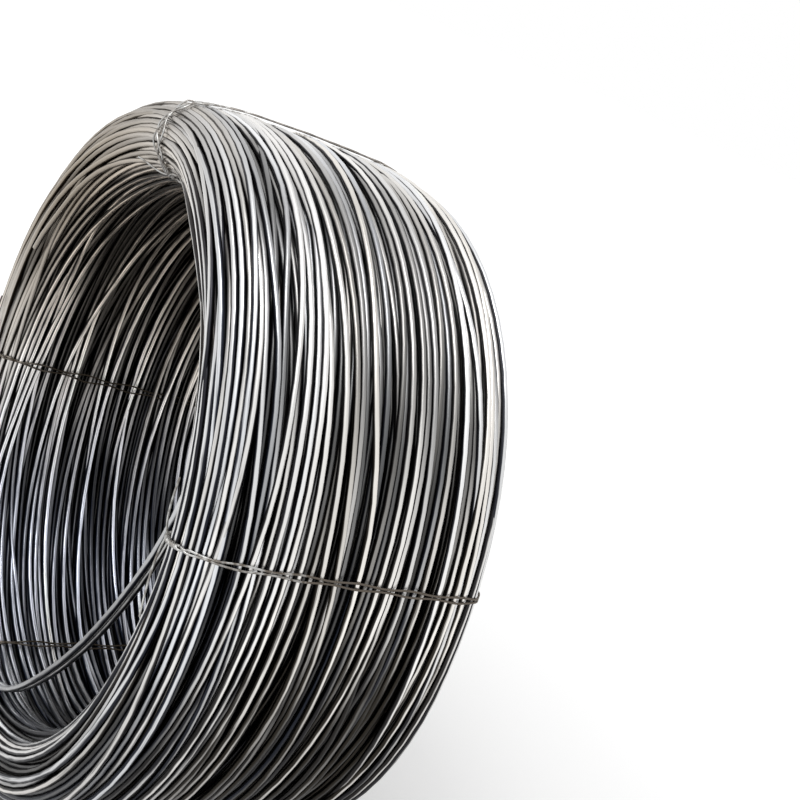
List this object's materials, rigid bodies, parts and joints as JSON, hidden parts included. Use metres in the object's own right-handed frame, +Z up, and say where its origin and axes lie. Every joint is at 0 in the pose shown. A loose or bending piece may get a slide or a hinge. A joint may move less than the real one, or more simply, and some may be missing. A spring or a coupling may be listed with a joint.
{
  "type": "coil of wire rod",
  "caption": "Coil of steel wire rod standing on its rim, with an open bore, turns showing on its ends and hand-twisted wire ties round the bundle.",
  "frame": {"origin": "on the floor, under the middle of the coil", "axes": "+Z up, Y along the coil's axis; the front end, on which the ties are twisted shut, faces -Y"},
  "size_m": [1.1996, 0.507, 1.2],
  "materials": {
    "rod_steel": "bare hot-rolled steel, grey with dark scale between the turns",
    "tie_wire": "bare annealed wire, dull"
  },
  "bodies": {
    "root": {"coil": "rod_steel", "tie_top": "tie_wire", "tie_rear": "tie_wire", "tie_bottom": "tie_wire", "tie_front": "tie_wire"}
  },
  "joints": []
}
